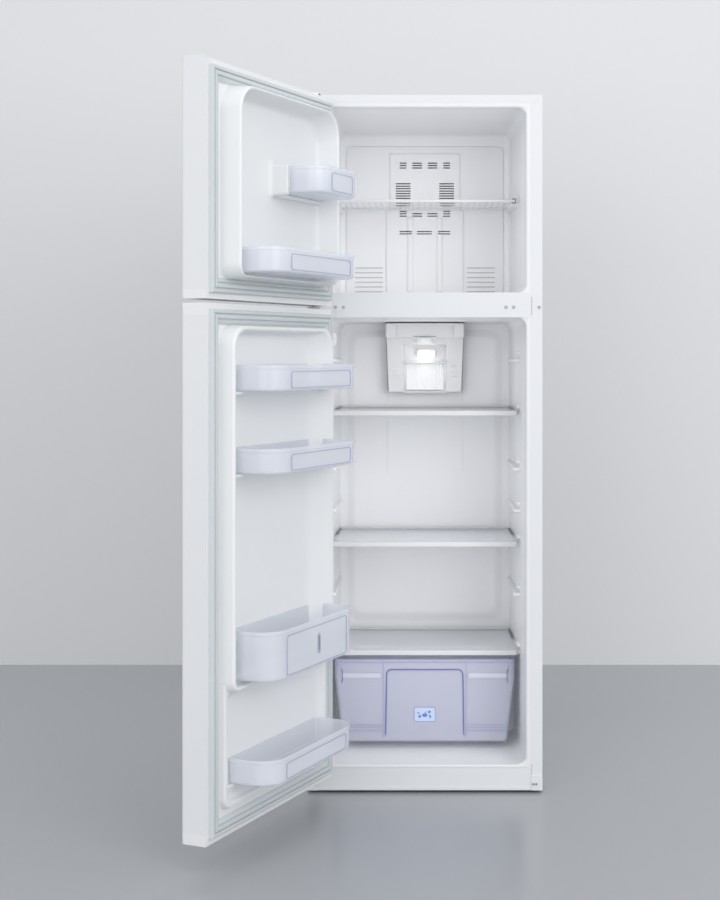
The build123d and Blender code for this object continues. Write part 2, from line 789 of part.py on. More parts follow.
with BuildPart() as freezer_door_liner:
    block((-door_liner_half, liner_floor - 2, 1134), (door_liner_half, liner_floor, 1563))
    add(tapered((-220, 220, 1154, 1543, 30), liner_floor, (-216, 216, 1158, 1539, 26), freezer_dike_top))
    add(
        tapered((-192, 197, 1164, 1521, 14), liner_floor, (-210, 211, 1161, 1533, 14), freezer_dike_top),
        mode=Mode.SUBTRACT,
    )
    block((2, liner_floor, 1336), (15, front + 29, 1404))
    block((-188, liner_floor, 1335), (2, front + 4, 1342.7))

with BuildPart() as fridge_door_liner:
    block((-door_liner_half, liner_floor - 2, 74), (door_liner_half, liner_floor, 1080))
    add(tapered((-220, 220, 336, 1065, 24), liner_floor, (-217, 217, 340, 1062, 22), fridge_dike_top))
    add(tapered((-220, 220, 106, 366, 24), liner_floor, (-218, 218, 108, 364, 22), low_dike_top))
    add(
        tapered((-149, 198, 350, 1046, 12), liner_floor, (-209, 208, 348, 1054, 14), fridge_dike_top),
        mode=Mode.SUBTRACT,
    )
    add(
        tapered((-196, 198, 122, 330, 20), liner_floor, (-206, 208, 118, 333, 20), low_dike_top),
        mode=Mode.SUBTRACT,
    )
    for low in (932, 768):
        shelf_ledge(low, 16, 172, 213)
    shelf_ledge(152, -2, 172, 212)

hang(freezer_door_liner.part, "freezer_door_liner")
hang(door_skin(freezer_door_low + 18, freezer_door_high, top_lip), "freezer_door_skin")
hang(door_foam(freezer_door_low + 18, freezer_door_high - 18), "freezer_door_insulation")
hang(
    end_cap(freezer_door_low, freezer_door_low + 18, 0, freezer_door_low, freezer_door_low + 15, 1114, 1126),
    "freezer_door_bottom_cap",
)
hang(
    end_cap(freezer_door_high - 18, freezer_door_high, skin_sheet, freezer_door_high - 15, freezer_door_high, 0, 0),
    "freezer_door_top_cap",
)
hang(door_gasket(freezer_door_low, freezer_door_high, 38, 38), "freezer_door_gasket")

hang(fridge_door_liner.part, "fridge_door_liner")
hang(door_skin(fridge_door_low + 22, fridge_door_high - 24, 0), "fridge_door_skin")
hang(door_foam(fridge_door_low + 22, fridge_door_high - 24), "fridge_door_insulation")
hang(
    end_cap(fridge_door_low, fridge_door_low + 22, 0, fridge_door_low, fridge_door_low + 18, 0, 0),
    "fridge_door_bottom_cap",
)
hang(
    end_cap(fridge_door_high - 24, fridge_door_high, 0, fridge_door_high - 18, fridge_door_high, 1092, 1106),
    "fridge_door_top_cap",
)
hang(door_gasket(fridge_door_low, fridge_door_high, 30, 39), "fridge_door_gasket")


def bin_outline(left, right, reach, corner, cut):
    """A bin seen from above; cut trims the rear corner that meets the liner's sloping wall."""
    rear = front + bin_back
    nose = front + reach
    with BuildSketch() as outline:
        with BuildLine():
            Polyline(
                (left, nose),
                (right, nose),
                (right, rear),
                (left + cut, rear),
                (left, rear + cut * 0.54 + 0.01),
                close=True,
            )
        make_face()
        fillet(outline.vertices().group_by(Axis.Y)[-1], corner)
    return outline.sketch


def door_bin(left, right, low, high, reach, corner, cut):
    """An open tub with thin walls, a rolled rim and a raised frame on its front."""
    floor_outline = bin_outline(left, right, reach, corner, cut)
    with BuildSketch() as inside:
        add(floor_outline)
        offset(amount=-bin_wall, mode=Mode.REPLACE)
    with BuildPart() as tub:
        with BuildSketch(Plane.XY.offset(low)):
            add(floor_outline)
        extrude(amount=high - low)
        with BuildSketch(Plane.XY.offset(low + bin_wall)):
            add(inside.sketch)
        extrude(amount=high - low, mode=Mode.SUBTRACT)
        with BuildSketch(Plane.XZ.offset(-front - reach)):
            with Locations(((left + right) / 2, (low + high) / 2)):
                Rectangle(right - left - 2 * corner, high - low - 12)
                Rectangle(right - left - 2 * corner - 6, high - low - 18, mode=Mode.SUBTRACT)
        extrude(amount=-1.2)
    return tub.part


hang(door_bin(-bin_half, bin_half, 1168, 1219, 104, bin_corner, 0), "freezer_lower_bin")
hang(door_bin(-bin_half, 0, 1343, 1400, 104, 40, 0), "freezer_upper_bin")
hang(door_bin(-bin_half, bin_half, 932, 984, 104, bin_corner, 42), "door_bin_top")
hang(door_bin(-bin_half, bin_half, 768, 819, 104, bin_corner, 42), "door_bin_second")
hang(door_bin(-bin_half, bin_half, 358, 457, 94, bin_corner, 42), "bottle_bin")
hang(door_bin(-bin_half, bin_half, 152, 203, 93, bin_corner, 0), "door_bin_bottom")
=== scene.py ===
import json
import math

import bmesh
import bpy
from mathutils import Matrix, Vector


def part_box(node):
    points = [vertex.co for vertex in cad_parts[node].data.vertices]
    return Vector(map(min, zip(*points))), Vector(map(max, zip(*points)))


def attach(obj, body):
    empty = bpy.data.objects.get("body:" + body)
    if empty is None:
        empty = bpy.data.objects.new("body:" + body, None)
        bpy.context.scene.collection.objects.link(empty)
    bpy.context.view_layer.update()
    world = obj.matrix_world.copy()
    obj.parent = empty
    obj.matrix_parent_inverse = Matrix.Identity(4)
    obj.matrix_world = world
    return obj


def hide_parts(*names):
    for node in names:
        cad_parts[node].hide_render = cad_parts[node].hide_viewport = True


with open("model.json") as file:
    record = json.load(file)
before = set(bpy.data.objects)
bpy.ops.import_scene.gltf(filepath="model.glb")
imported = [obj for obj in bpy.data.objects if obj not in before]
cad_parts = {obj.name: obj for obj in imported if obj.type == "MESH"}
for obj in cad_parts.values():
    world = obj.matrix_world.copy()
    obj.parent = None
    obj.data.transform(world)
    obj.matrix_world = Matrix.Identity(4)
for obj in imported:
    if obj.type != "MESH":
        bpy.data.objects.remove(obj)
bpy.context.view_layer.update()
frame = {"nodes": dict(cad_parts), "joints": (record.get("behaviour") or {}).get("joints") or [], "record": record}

# %% [markdown]
# # A refrigerator with its doors open
#
# This lesson dresses a refrigerator that is already designed: every part has its size and its
# place, and the doors already swing. What is left is what the eye sees, which is enamel, formed
# plastic, glass, tinted drawers and soft seals.
#

nodes = frame["nodes"]
joints = {joint["name"]: joint for joint in frame["joints"]}
body_names = {}
for body, members in frame["record"]["behaviour"]["bodies"].items():
    for member in members:
        body_names[member] = body

# %% [markdown]
# ## The camera
#
# A tall box is best seen without leaning edges, so the camera looks level and its lens is
# shifted down and to the left instead of being tilted. That is what an architect's shift lens
# does. It stands three and a half metres in front of the cabinet at the height of the divider
# between the two compartments.

# %% Camera
front_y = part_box("outer_wrapper")[0].y
camera_distance = 3.48
camera_height = 1.006
camera_data = bpy.data.cameras.new("camera")
camera_data.lens = 60.72
camera_data.sensor_width = 36.0
camera_data.shift_x = -0.0744
camera_data.shift_y = -0.1067
camera = bpy.data.objects.new("camera", camera_data)
camera.location = (0.0053, front_y - camera_distance, camera_height)
camera.rotation_euler = (math.radians(90), 0, 0)
bpy.context.scene.collection.objects.link(camera)
bpy.context.scene.camera = camera
print("camera stands", camera_distance, "m in front of the cabinet")

# %% [markdown]
# ## Floor and light
#
# White enamel only reads as white when something around it is darker, so the room is a pale
# grey and the light comes from broad soft panels. Broad lights give long, quiet gradients on
# flat sheet metal and leave no hard shadow inside the compartments.

# %% Floor
bpy.context.scene.view_settings.view_transform = "Standard"
room_size = 16
wall_depth = 1.18


def shader_of(material):
    """The main shader of a material that uses nodes."""
    return material.node_tree.nodes["Principled BSDF"]


def flat_plane(name, size, place, turn):
    """A big square for the floor or the wall."""
    bm = bmesh.new()
    bmesh.ops.create_grid(bm, x_segments=1, y_segments=1, size=size / 2)
    bmesh.ops.rotate(bm, verts=bm.verts, cent=(0, 0, 0), matrix=Matrix.Rotation(turn, 3, "X"))
    bmesh.ops.translate(bm, verts=bm.verts, vec=place)
    mesh = bpy.data.meshes.new(name)
    bm.to_mesh(mesh)
    bm.free()
    plane = bpy.data.objects.new(name, mesh)
    bpy.context.scene.collection.objects.link(plane)
    return plane


floor_paint = bpy.data.materials.new("studio_floor")
floor_paint.use_nodes = True
shader_of(floor_paint).inputs["Base Color"].default_value = (0.40, 0.415, 0.435, 1)
shader_of(floor_paint).inputs["Roughness"].default_value = 0.25
floor = flat_plane("studio_floor", room_size, (0, 0, 0), 0)
floor.data.materials.append(floor_paint)

wall_paint = bpy.data.materials.new("studio_wall")
wall_paint.use_nodes = True
shader_of(wall_paint).inputs["Base Color"].default_value = (0.84, 0.845, 0.85, 1)
shader_of(wall_paint).inputs["Roughness"].default_value = 0.7
wall = flat_plane("studio_wall", room_size, (0, wall_depth, 0), math.radians(90))
wall.data.materials.append(wall_paint)
print("room of", room_size, "m")

# %% Soft panels


def soft_panel(name, place, aim, size, power):
    """A large square light that looks at a point."""
    data = bpy.data.lights.new(name, "AREA")
    data.shape = "SQUARE"
    data.size = size
    data.energy = power
    lamp = bpy.data.objects.new(name, data)
    lamp.location = place
    lamp.rotation_euler = (Vector(aim) - Vector(place)).to_track_quat("-Z", "Y").to_euler()
    bpy.context.scene.collection.objects.link(lamp)


soft_panel("front_left", (-2.0, -5.0, 1.7), (0, 0, 0.85), 2.8, 34)
soft_panel("front_right", (2.4, -4.0, 1.9), (0, 0, 0.8), 2.6, 58)
soft_panel("overhead", (0.2, -0.9, 3.4), (0, -0.2, 0.5), 2.2, 6)
print("three soft panels")

# %% [markdown]
# ### Light inside
#
# Thin white walls send light around until even the corners are bright. A few dim panels inside
# the compartments stand for that light. They face the back wall and can't be seen themselves.
# A small point of light by the bulb does what the lamp does when the door is open.

# %% Fill panels
fill_width = 0.38
mouth = -0.004
behind_rails = 0.15


def fill_panel(name, low, high, depth, power):
    """A dim upright panel inside a compartment that only lights what is behind it."""
    data = bpy.data.lights.new(name, "AREA")
    data.shape = "RECTANGLE"
    data.size = fill_width
    data.size_y = high - low
    data.energy = power
    lamp = bpy.data.objects.new(name, data)
    lamp.location = (0, front_y + depth, (low + high) / 2)
    lamp.rotation_euler = (Vector((0, 1, 0))).to_track_quat("-Z", "Y").to_euler()
    lamp.visible_camera = False
    lamp.visible_glossy = False
    bpy.context.scene.collection.objects.link(lamp)


fill_panel("freezer_fill", 1.17, 1.55, mouth, 0.2)
fill_panel("freezer_deep_fill", 1.17, 1.52, behind_rails, 0.03)
fill_panel("lower_fill", 0.12, 1.06, mouth, 0.5)
fill_panel("lower_deep_fill", 0.3, 1.06, behind_rails, 0.14)
fill_panel("upper_deep_fill", 0.9, 1.06, behind_rails + 0.01, 0.07)
print("five fill panels")

# %% Bulb light and sky
bulb_data = bpy.data.lights.new("bulb_light", "POINT")
bulb_data.energy = 0.04
bulb_data.shadow_soft_size = 0.012
bulb_light = bpy.data.objects.new("bulb_light", bulb_data)
bulb_light.location = (0, front_y + 0.375, 0.993)
bulb_light.visible_camera = False
bulb_light.visible_glossy = False
bpy.context.scene.collection.objects.link(bulb_light)
world = bpy.data.worlds.new("studio")
world.use_nodes = True
world.node_tree.nodes["Background"].inputs["Color"].default_value = (0.93, 0.94, 0.96, 1)
world.node_tree.nodes["Background"].inputs["Strength"].default_value = 0.85
bpy.context.scene.world = world
print(len(bpy.data.lights), "lights and a pale sky")

# %% [markdown]
# ## Finishes
#
# Every finish starts from the same recipe: a base colour that drifts very slightly over the
# surface, a roughness, and a fine bump at the size that the real process leaves. Sprayed
# enamel has a soft orange-peel ripple a few millimetres long, formed sheet plastic has a
# shallow pull, and moulded plastic has a much finer grain.

# %% A finish with drift and grain


def finish(name, colour, roughness, grain, depth, drift=0.03, metallic=0.0):
    """A material whose colour drifts a little and whose surface has a fine grain."""
    dark_end, light_end = 1 - drift, 1 + drift
    material = bpy.data.materials.new(name)
    material.use_nodes = True
    tree = material.node_tree
    shader = shader_of(material)
    shader.inputs["Roughness"].default_value = roughness
    shader.inputs["Metallic"].default_value = metallic
    place = tree.nodes.new("ShaderNodeTexCoord")

    drifting = tree.nodes.new("ShaderNodeTexNoise")
    drifting.inputs["Scale"].default_value = 3.5
    drifting.inputs["Detail"].default_value = 3
    tone = tree.nodes.new("ShaderNodeValToRGB")
    tone.color_ramp.elements[0].position = 0.3
    tone.color_ramp.elements[1].position = 0.7
    tone.color_ramp.elements[0].color = (*[c * dark_end for c in colour], 1)
    tone.color_ramp.elements[1].color = (*[min(1, c * light_end) for c in colour], 1)
    tree.links.new(place.outputs["Object"], drifting.inputs["Vector"])
    tree.links.new(drifting.outputs["Fac"], tone.inputs["Fac"])
    tree.links.new(tone.outputs["Color"], shader.inputs["Base Color"])

    ripple = tree.nodes.new("ShaderNodeTexNoise")
    ripple.inputs["Scale"].default_value = grain
    ripple.inputs["Detail"].default_value = 2
    bump = tree.nodes.new("ShaderNodeBump")
    bump.inputs["Strength"].default_value = 0.35
    bump.inputs["Distance"].default_value = depth
    tree.links.new(place.outputs["Object"], ripple.inputs["Vector"])
    tree.links.new(ripple.outputs["Fac"], bump.inputs["Height"])
    tree.links.new(bump.outputs["Normal"], shader.inputs["Normal"])
    return material


enamel = finish("cabinet_enamel", (0.84, 0.85, 0.865), 0.3, 260, 0.0002, 0.008)
door_enamel = finish("door_enamel", (0.84, 0.85, 0.865), 0.28, 260, 0.0002, 0.008)
liner_sheet = finish("formed_liner_sheet", (0.88, 0.885, 0.90), 0.34, 90, 0.0002, 0.01)
door_liner_sheet = finish("door_liner_sheet", (0.88, 0.895, 0.90), 0.32, 90, 0.0002, 0.01)
moulded_white = finish("moulded_white", (0.88, 0.885, 0.89), 0.34, 700, 0.0001, 0.01)
rail_white = finish("rail_white", (0.66, 0.665, 0.675), 0.36, 700, 0.0001, 0.01)
housing_white = finish("housing_white", (0.78, 0.785, 0.795), 0.36, 700, 0.0001, 0.01)
plug_grey = finish("plug_grey", (0.48, 0.485, 0.50), 0.4, 700, 0.0001, 0.02)
knob_white = finish("knob_white", (0.93, 0.935, 0.94), 0.28, 700, 0.0001, 0.01)
# gap_shade_grey is painted shade: a dark grey for narrow gaps and steps that fall dark, not a colour of any part.
gap_shade_grey = finish("gap_shade_grey", (0.30, 0.31, 0.33), 0.6, 500, 0.00005, 0.05)
zinc = finish("zinc_sheet", (0.45, 0.47, 0.48), 0.42, 60, 0.0002, 0.18, 0.85)
foam = finish("poured_foam", (0.80, 0.72, 0.47), 0.9, 240, 0.001, 0.08)
screw_steel = finish("plated_screw", (0.42, 0.43, 0.45), 0.34, 500, 0.00008, 0.1, 0.9)
fins = finish("aluminium_fins", (0.62, 0.63, 0.65), 0.38, 120, 0.0002, 0.08, 0.9)
black_plastic = finish("black_plastic", (0.028, 0.028, 0.031), 0.55, 600, 0.00015, 0.1)
black_enamel = finish("black_enamel", (0.014, 0.014, 0.015), 0.3, 240, 0.0002, 0.1)
foot_plastic = finish("foot_plastic", (0.09, 0.09, 0.095), 0.6, 500, 0.00015, 0.1)
seal_vinyl = finish("seal_vinyl", (0.66, 0.70, 0.715), 0.5, 800, 0.0001, 0.02)
grey_clip = finish("grey_clip", (0.22, 0.23, 0.27), 0.45, 700, 0.0001, 0.08)
dark_tint = finish("dark_tint", (0.16, 0.17, 0.42), 0.2, 400, 0.00008, 0.06)
label_blue = finish("label_blue", (0.56, 0.64, 0.82), 0.4, 900, 0.00004, 0.03)
print_blue = finish("print_blue", (0.10, 0.22, 0.62), 0.45, 900, 0.00003, 0.06)
print(len(bpy.data.materials), "finishes so far")

# %% [markdown]
# ## Glass and tinted plastic
#
# The shelves are clear glass, which shows blue-green only along its cut edges. The panes get a pale
# body that sends back more than half of the light: partly glass, partly painted reflection for the
# pale look a pane has at a low angle. The drawer and the door bins are moulded from a plastic with
# a little lavender dye. Their walls are so thin that light passes without bending, so the recipe
# lowers alpha instead of adding refraction. The colour is paler than the dye itself because two
# walls often lie behind each other.

# %% Clear finishes


def clear_finish(name, colour, roughness, body, grain, depth):
    """A see-through finish; body is how much of the light the plastic itself sends back."""
    material = finish(name, colour, roughness, grain, depth, 0.02)
    shader_of(material).inputs["Alpha"].default_value = body
    return material


# The shelf glass body is pale and sends back 60 percent of the light: partly the glass, partly painted reflection.
shelf_glass = clear_finish("shelf_glass", (0.94, 0.96, 1.0), 0.06, 0.6, 40, 0.00005)
glass_edge = clear_finish("glass_edge", (0.25, 0.30, 0.40), 0.15, 0.75, 200, 0.00005)
clear_plastic = clear_finish("clear_plastic", (0.86, 0.88, 0.90), 0.12, 0.22, 400, 0.00008)
tinted_plastic = clear_finish("tinted_plastic", (0.80, 0.82, 0.96), 0.14, 0.36, 500, 0.0001)
bin_plastic = clear_finish("bin_plastic", (0.90, 0.925, 1.0), 0.2, 0.48, 500, 0.0001)
bin_edge = clear_finish("bin_edge", (0.60, 0.63, 0.80), 0.2, 0.5, 500, 0.0001)
# lavender_highlight is the drawer plastic made paler and less clear: painted highlight for the drawer shoulders.
lavender_highlight = clear_finish("lavender_highlight", (0.86, 0.88, 0.96), 0.2, 0.5, 400, 0.00008)
drawer_edge = clear_finish("drawer_edge", (0.42, 0.44, 0.72), 0.16, 0.6, 500, 0.0001)

print(len(bpy.data.materials), "finishes with the clear ones")

# %% Lamp finishes


def glowing(name, colour, strength):
    """White glass or plastic with light behind it."""
    material = finish(name, colour, 0.3, 300, 0.00005, 0.01)
    shader_of(material).inputs["Emission Color"].default_value = (1.0, 0.985, 0.96, 1)
    shader_of(material).inputs["Emission Strength"].default_value = strength
    return material


lamp_glass = glowing("lamp_glass", (0.95, 0.95, 0.93), 0.12)
lens_glow = glowing("ribbed_lens", (0.88, 0.89, 0.90), 0.1)

print("lens glow", shader_of(lens_glow).inputs["Emission Strength"].default_value)

# %% A first coat for every part
coats = {
    "cabinet_enamel": enamel,
    "door_enamel": door_enamel,
    "galvanised_sheet": zinc,
    "foam": foam,
    "liner_plastic": liner_sheet,
    "trim_plastic": moulded_white,
    "screw_steel": screw_steel,
    "gasket_rubber": seal_vinyl,
    "aluminium_fins": fins,
    "black_plastic": black_plastic,
    "black_steel": black_enamel,
    "foot_plastic": foot_plastic,
    "shelf_glass": shelf_glass,
    "clear_plastic": clear_plastic,
    "lamp_glass": lamp_glass,
    "tinted_plastic": tinted_plastic,
}
slots = {row["node"]: row["material_slot"] for row in frame["record"]["subparts"]}
for name, part in nodes.items():
    part.data.materials.clear()
    part.data.materials.append(coats[slots[name]])
nodes["thermostat_knob"].data.materials[0] = knob_white
nodes["screw_plugs"].data.materials[0] = plug_grey
print(len(nodes), "parts have a first coat")

# %% [markdown]
# ## A place to build in
#
# Refrigerator makers measure from the front plane of the cabinet, so we do the same: x runs to
# the right, y is the depth behind the front plane and z is the height, all in millimetres.
# The doors are easier to shape while they are closed. Their own place matrix then swings what
# we made about the hinge pin, to where the doors stand at rest.

# %% Places
cabinet_place = Matrix.Translation((0, front_y, 0)) @ Matrix.Scale(0.001, 4)


def door_place(joint_name):
    """Where a closed door's millimetres end up once the door has swung open."""
    joint = joints[joint_name]
    pin = Matrix.Translation(joint["pos_m"])
    swing = Matrix.Rotation(-math.radians(joint["range_deg"][0]), 4, joint["axis"])
    return pin @ swing @ pin.inverted() @ cabinet_place


freezer_door_place = door_place("freezer_door_hinge")
fridge_door_place = door_place("fridge_door_hinge")
print("door swing", joints["fridge_door_hinge"]["range_deg"])

# %% [markdown]
# ## Rings, and stacks of rings
#
# Nearly everything in a refrigerator is vacuum formed or injection moulded: a rounded rectangle
# that sinks or rises and changes size on the way. So one tool makes most of the pieces. A ring
# is a square grid face whose corners are rounded by a vertex bevel. A stack extrudes that ring
# from one station to the next, and each rounded corner follows its own centre, so the corners
# never twist. A soft step between two stations is a few extra stations on a curve.
#
# A station is written as (left, right, low, high, low corner radius, high corner radius, place).

# %% Ring
facing_front = Matrix(((1, 0, 0, 0), (0, 0, 1, 0), (0, 1, 0, 0), (0, 0, 0, 1)))
facing_up = Matrix.Identity(4)
smallest_radius = 0.2


def ring(bm, station, steps):
    """A flat rounded rectangle, left in the mesh as a loop of edges."""
    left, right, low, high, low_radius, high_radius, place = station
    before = set(bm.edges)
    corners = bmesh.ops.create_grid(bm, x_segments=1, y_segments=1, size=0.5)["verts"]
    bmesh.ops.scale(bm, verts=corners, vec=(right - left, high - low, 1))
    bmesh.ops.translate(bm, verts=corners, vec=((left + right) / 2, (low + high) / 2, place))
    middle = (low + high) / 2
    for radius, chosen in (
        (low_radius, [v for v in corners if v.co.y < middle]),
        (high_radius, [v for v in corners if v.co.y > middle]),
    ):
        bmesh.ops.bevel(
            bm,
            geom=chosen,
            offset=max(radius, smallest_radius),
            segments=steps,
            profile=0.5,
            affect="VERTICES",
            material=-1,
        )
    edges = [edge for edge in bm.edges if edge not in before]
    faces = {face for edge in edges for face in edge.link_faces}
    bmesh.ops.delete(bm, geom=list(faces), context="FACES_ONLY")
    return edges


def corner_of(station, side, end):
    """The centre and the radius of one rounded corner of a ring."""
    radius = max(station[4 + end], smallest_radius)
    x = station[side] + radius * (1 - 2 * side)
    y = station[2 + end] + radius * (1 - 2 * end)
    return Vector((x, y, station[6])), radius


# %% Stack


def softened(stations, sizes, steps=4):
    """Replace each inner station by a short curve, so that the step there is rounded."""
    points = [tuple(station) for station in stations]
    rounded = [points[0]]
    for before, corner, after, size in zip(points, points[1:], points[2:], sizes):
        if size == 0:
            rounded.append(corner)
            continue
        ends = []
        for other in (before, after):
            gap = max(abs(other[i] - corner[i]) for i in (0, 1, 2, 3, 6))
            share = min(0.49, size / gap)
            ends.append([c + (o - c) * share for c, o in zip(corner, other)])
        for step in range(steps + 1):
            t = step / steps
            curve = zip(ends[0], corner, ends[1])
            near, bend, far = (1 - t) ** 2, 2 * t * (1 - t), t * t
            rounded.append([near * a + bend * b + far * c for a, b, c in curve])
    rounded.append(points[-1])
    return rounded


def stack(bm, stations, facing=facing_front, close=(True, True), steps=6, hoop=False):
    """Extrude a ring through a list of stations, and close the first and last if asked."""
    old = set(bm.verts)
    first = ring(bm, stations[0], steps)
    loop = first
    if hoop:
        stations = [*stations, stations[0]]
    for before, after in zip(stations, stations[1:]):
        made = bmesh.ops.extrude_edge_only(bm, edges=loop)["geom"]
        fresh = [item for item in made if isinstance(item, bmesh.types.BMVert)]
        for vert in fresh:
            side = int(vert.co.x > (before[0] + before[1]) / 2)
            end = int(vert.co.y > (before[2] + before[3]) / 2)
            from_centre, from_radius = corner_of(before, side, end)
            to_centre, to_radius = corner_of(after, side, end)
            vert.co = to_centre + (vert.co - from_centre) * (to_radius / from_radius)
        ring_verts = set(fresh)
        loop = [
            item
            for item in made
            if isinstance(item, bmesh.types.BMEdge) and ring_verts.issuperset(item.verts)
        ]
    if hoop:
        both = {vert for edge in first + loop for vert in edge.verts}
        bmesh.ops.remove_doubles(bm, verts=list(both), dist=0.0005)
    else:
        for wanted, end_loop in zip(close, (first, loop)):
            if wanted:
                bmesh.ops.contextual_create(bm, geom=end_loop)
    made_now = [vert for vert in bm.verts if vert not in old]
    bmesh.ops.transform(bm, matrix=facing, verts=made_now)


# %% Block, pair and hoop
taper_depth = 280


def rounded_block(bm, low, high, radius, steps=2):
    """A box with every edge rounded."""
    corners = bmesh.ops.create_cube(bm, size=1)["verts"]
    bmesh.ops.scale(bm, verts=corners, vec=[b - a for a, b in zip(low, high)])
    bmesh.ops.translate(bm, verts=corners, vec=[(a + b) / 2 for a, b in zip(low, high)])
    edges = {edge for v in corners for edge in v.link_edges}
    made = bmesh.ops.bevel(
        bm,
        geom=list(edges),
        offset=radius,
        segments=steps,
        profile=0.5,
        affect="EDGES",
        material=-1,
    )
    return made["verts"]


def paired_blocks(bm, inner, outer, near, far, low, high, radius, steps=2):
    """The same rounded block on the left and on the right."""
    for side in (-1, 1):
        left, right = sorted((side * inner, side * outer))
        rounded_block(bm, (left, near, low), (right, far, high), radius, steps)


def narrowed_behind(bm, share):
    """Bring the back of a shelf in, because the walls come closer towards the back."""
    for vert in bm.verts:
        if vert.co.y > taper_depth:
            vert.co.x *= share


def raised_hoop(bm, box, radius, band, base, rise):
    """A flat raised frame with rounded corners that faces the front."""
    left, right, low, high = box
    inner = (left + band, right - band, low + band, high - band, radius - band, radius - band)
    outer = (left, right, low, high, radius, radius)
    stack(bm, [(*outer, base), (*outer, rise), (*inner, rise), (*inner, base)], hoop=True, steps=5)


# %% [markdown]
# ## From mesh to piece
#
# Every piece ends the same way. Its faces are turned outwards, it goes to its place, sharp edges
# are marked by angle, and a weighted normal modifier keeps the big panels flat between their
# soft edges. A piece rides on the body of the part it is modelled after. An open shell, such as
# a vacuum formed liner, has its normals turned to the side that is seen and gets its sheet
# thickness from a Solidify modifier.

# %% Piece


def make_piece(name, bm, coats, like, place=cabinet_place, stands_for=True, sheet=0, seen=None):
    """Finish a mesh as a piece that rides with the part it is modelled after."""
    bmesh.ops.recalc_face_normals(bm, faces=bm.faces[:])
    if seen is not None:
        widest = max(bm.faces, key=lambda face: face.calc_area())
        if widest.normal.dot(Vector(seen)) < 0:
            bmesh.ops.reverse_faces(bm, faces=bm.faces[:])
    mesh = bpy.data.meshes.new(name)
    bm.to_mesh(mesh)
    bm.free()
    mesh.transform(place)
    if place.determinant() < 0:
        mesh.flip_normals()
    for coat in coats:
        mesh.materials.append(coat)
    mesh.shade_smooth()
    mesh.set_sharp_from_angle(angle=math.radians(40))
    piece = bpy.data.objects.new(name, mesh)
    bpy.context.scene.collection.objects.link(piece)
    if sheet:
        wall_of = piece.modifiers.new("sheet", "SOLIDIFY")
        wall_of.thickness = sheet
        wall_of.offset = -1
    evener = piece.modifiers.new("even_normals", "WEIGHTED_NORMAL")
    evener.keep_sharp = True
    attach(piece, body_names[like])
    if stands_for:
        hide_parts(like)
    print(name, len(mesh.polygons), "faces")
    return piece


# %% [markdown]
# ## The two liners
#
# Each compartment is one vacuum formed sheet. It rolls over the front edge of the cabinet in a
# soft lip, runs back in slightly tapering walls and turns into the back wall with a wide
# radius. The freezer liner also steps inwards just in front of the evaporator cover, and the
# cover sits in that opening. The lower back wall has a shallow embossed panel that keeps the
# sheet stiff.

# %% Freezer liner
formed_sheet = {"sheet": 0.0015, "seen": (0, -1, 0)}
flange = (-242, 242, 1139, 1581, 1, 1, 0.3)
bm = bmesh.new()
stack(
    bm,
    softened(
        [
            flange,
            (-232.5, 232.5, 1147, 1571, 20, 20, 0),
            (-215.8, 215.8, 1149.4, 1558.8, 14, 20, 351),
            (-199.8, 199.8, 1151, 1529.8, 3, 13, 352.5),
            (-199.6, 199.6, 1151, 1529.6, 3, 13, 359),
            (-190, 190, 1151, 1529, 3, 13, 430),
        ],
        (5, 16, 3, 0),
    ),
    close=(False, True),
)
make_piece("freezer_liner_sheet", bm, [liner_sheet], "freezer_liner", **formed_sheet)

# %% Lower liner
step_depth = 300
step_height = 275
bm = bmesh.new()
stack(
    bm,
    softened(
        [
            (-242, 242, 57.2, 1096, 1, 1, 0.3),
            (-232.5, 232.5, 64, 1090, 22, 24, 0),
            (-218, 218, 68, 1086, 17, 22, 430),
            (-199, 199, 322, 1068, 34, 34, 430),
            (-181, 181, 341, 1050, 26, 26, 423),
            (-170, 170, 352, 1040, 22, 22, 423),
        ],
        (5, 22, 6, 6),
    ),
    close=(False, True),
)
for co, no in (((0, step_depth, 0), (0, 1, 0)), ((0, 0, step_height), (0, 0, 1))):
    everything = bm.verts[:] + bm.edges[:] + bm.faces[:]
    bmesh.ops.bisect_plane(bm, geom=everything, plane_co=co, plane_no=no)
under = []
for face in bm.faces:
    middle = face.calc_center_median()
    if middle.y > step_depth and middle.z < step_height:
        under.append(face)
bmesh.ops.delete(bm, geom=under, context="FACES")
ends = [v for v in bm.verts if abs(v.co.y - step_depth) + abs(v.co.z - step_height) < 0.01]
nose = bm.edges.new(ends)
for axis, level in ((1, step_depth), (2, step_height)):
    rim = [nose]
    for edge in bm.edges:
        on_level = all(abs(v.co[axis] - level) < 0.01 for v in edge.verts)
        if edge != nose and edge.is_boundary and on_level:
            rim.append(edge)
    bmesh.ops.contextual_create(bm, geom=rim)
bmesh.ops.bevel(bm, geom=[nose], offset=14, segments=4, profile=0.5, affect="EDGES", material=-1)
make_piece("lower_liner_sheet", bm, [liner_sheet], "fridge_liner", **formed_sheet)

# %% [markdown]
# ## Ledges
#
# The shelves rest on ledges that are drawn out of the side walls. A short stub above each
# ledge keeps a loaded shelf from tipping. The duct behind the back wall shows as two fine ribs
# that run down from the light housing.

# %% Ledges
ledge_tops = (1000, 871, 740, 640, 559, 440, 301)
bm = bmesh.new()
for top in ledge_tops:
    paired_blocks(bm, 212, 230, 150, 425, top - 13.3, top - 5.3, 3, 3)
    paired_blocks(bm, 220.5, 230, 150, 190, top + 4, top + 12, 3, 3)
for x in (-96, 95):
    rounded_block(bm, (x, 421.6, 700), (x + 1.6, 431, 912), 0.6)
make_piece("lower_liner_ledges", bm, [liner_sheet], "fridge_liner")

